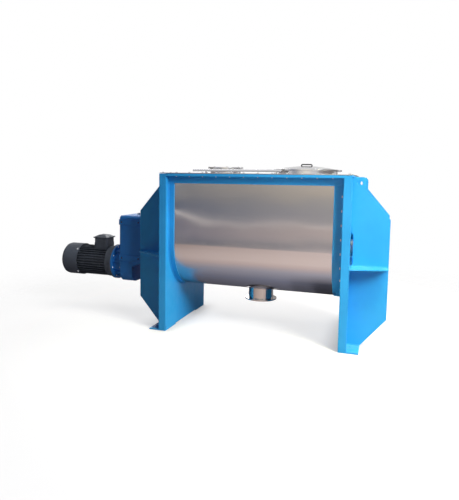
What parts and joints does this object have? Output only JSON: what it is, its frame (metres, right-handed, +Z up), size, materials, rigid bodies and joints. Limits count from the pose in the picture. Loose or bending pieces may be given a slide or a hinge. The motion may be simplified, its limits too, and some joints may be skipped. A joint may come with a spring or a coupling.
{
  "type": "ribbon blender",
  "caption": "Horizontal U-trough ribbon blender on two end frames, with a geared motor drive, bolted cover, hinged manhole lid, feed port and bottom discharge.",
  "frame": {"origin": "on the floor, at the centre of the four anchor holes, under the middle of the trough", "axes": "+X along the shaft towards the idle end, +Y to the rear, +Z up"},
  "size_m": [3.66, 1.114, 1.718],
  "materials": {
    "frame_blue": "gloss enamel",
    "drive_blue": "gloss enamel",
    "stainless": "brushed",
    "polished_steel": "polished",
    "machined_steel": "machined",
    "zinc_fasteners": "zinc plated",
    "bearing_iron": "painted",
    "core_iron": "laminated",
    "motor_charcoal": "satin enamel",
    "gasket_rubber": "matt",
    "black_plastic": "matt",
    "handle_black": "satin"
  },
  "bodies": {
    "frame": {"bearing_bolts": "zinc_fasteners", "cable_gland": "black_plastic", "cover_bolts": "zinc_fasteners", "cover_gasket": "gasket_rubber", "cover_plate": "stainless", "discharge_nozzle": "stainless", "drive_bearing_housing": "bearing_iron", "drive_bearing_shelf": "frame_blue", "drive_end_panel": "frame_blue", "drive_end_ring": "frame_blue", "drive_gland": "machined_steel", "drive_gussets": "frame_blue", "drive_mount_plate": "frame_blue", "drive_seal_housing": "machined_steel", "fan_cowl": "motor_charcoal", "feed_port_blind": "stainless", "feed_port_bolts": "zinc_fasteners", "feed_port_gasket": "gasket_rubber", "feed_port_neck": "stainless", "feet": "frame_blue", "gearbox_breather": "zinc_fasteners", "gearbox_housing": "drive_blue", "gland_studs": "zinc_fasteners", "gusset_ribs": "frame_blue", "hinge_bracket": "stainless", "hinge_pin": "machined_steel", "idle_bearing_housing": "bearing_iron", "idle_bearing_shelf": "frame_blue", "idle_end_panel": "frame_blue", "idle_end_ring": "frame_blue", "idle_gland": "machined_steel", "idle_gussets": "frame_blue", "idle_seal_housing": "machined_steel", "lid_gasket": "gasket_rubber", "manhole_collar": "stainless", "motor_adapter": "drive_blue", "motor_end_shield": "motor_charcoal", "motor_frame": "motor_charcoal", "output_bolts": "zinc_fasteners", "packing_rings": "gasket_rubber", "ring_bolts": "zinc_fasteners", "spray_nozzles": "polished_steel", "spray_pipe": "polished_steel", "stator": "core_iron", "terminal_box": "motor_charcoal", "terminal_lid": "motor_charcoal", "top_rails": "frame_blue", "trough_shell": "stainless"},
    "agitator": {"main_shaft": "machined_steel", "spokes": "stainless", "outer_ribbons": "stainless", "inner_ribbons": "stainless", "drive_bearing_insert": "machined_steel", "idle_bearing_insert": "machined_steel", "output_sleeve": "machined_steel"},
    "motor_rotor": {"motor_rotor": "machined_steel", "cooling_fan": "black_plastic", "shaft_coupling": "machined_steel"},
    "manhole_lid": {"manhole_lid": "stainless", "lid_handle": "handle_black"}
  },
  "joints": [
    {"name": "agitator_spin", "type": "hinge", "parent": "frame", "child": "agitator", "pos_m": [0, 0, 0.89], "axis": [1, 0, 0], "continuous": true},
    {"name": "motor_spin", "type": "hinge", "parent": "frame", "child": "motor_rotor", "pos_m": [-2, 0, 0.575], "axis": [1, 0, 0], "continuous": true},
    {"name": "manhole_lid_hinge", "type": "hinge", "parent": "frame", "child": "manhole_lid", "pos_m": [0.445, 0.388, 1.657], "axis": [-1, 0, 0], "range_deg": [0, 105]}
  ],
  "couplings": [
    {"joint": "motor_spin", "follows": "agitator_spin", "ratio": -40}
  ]
}
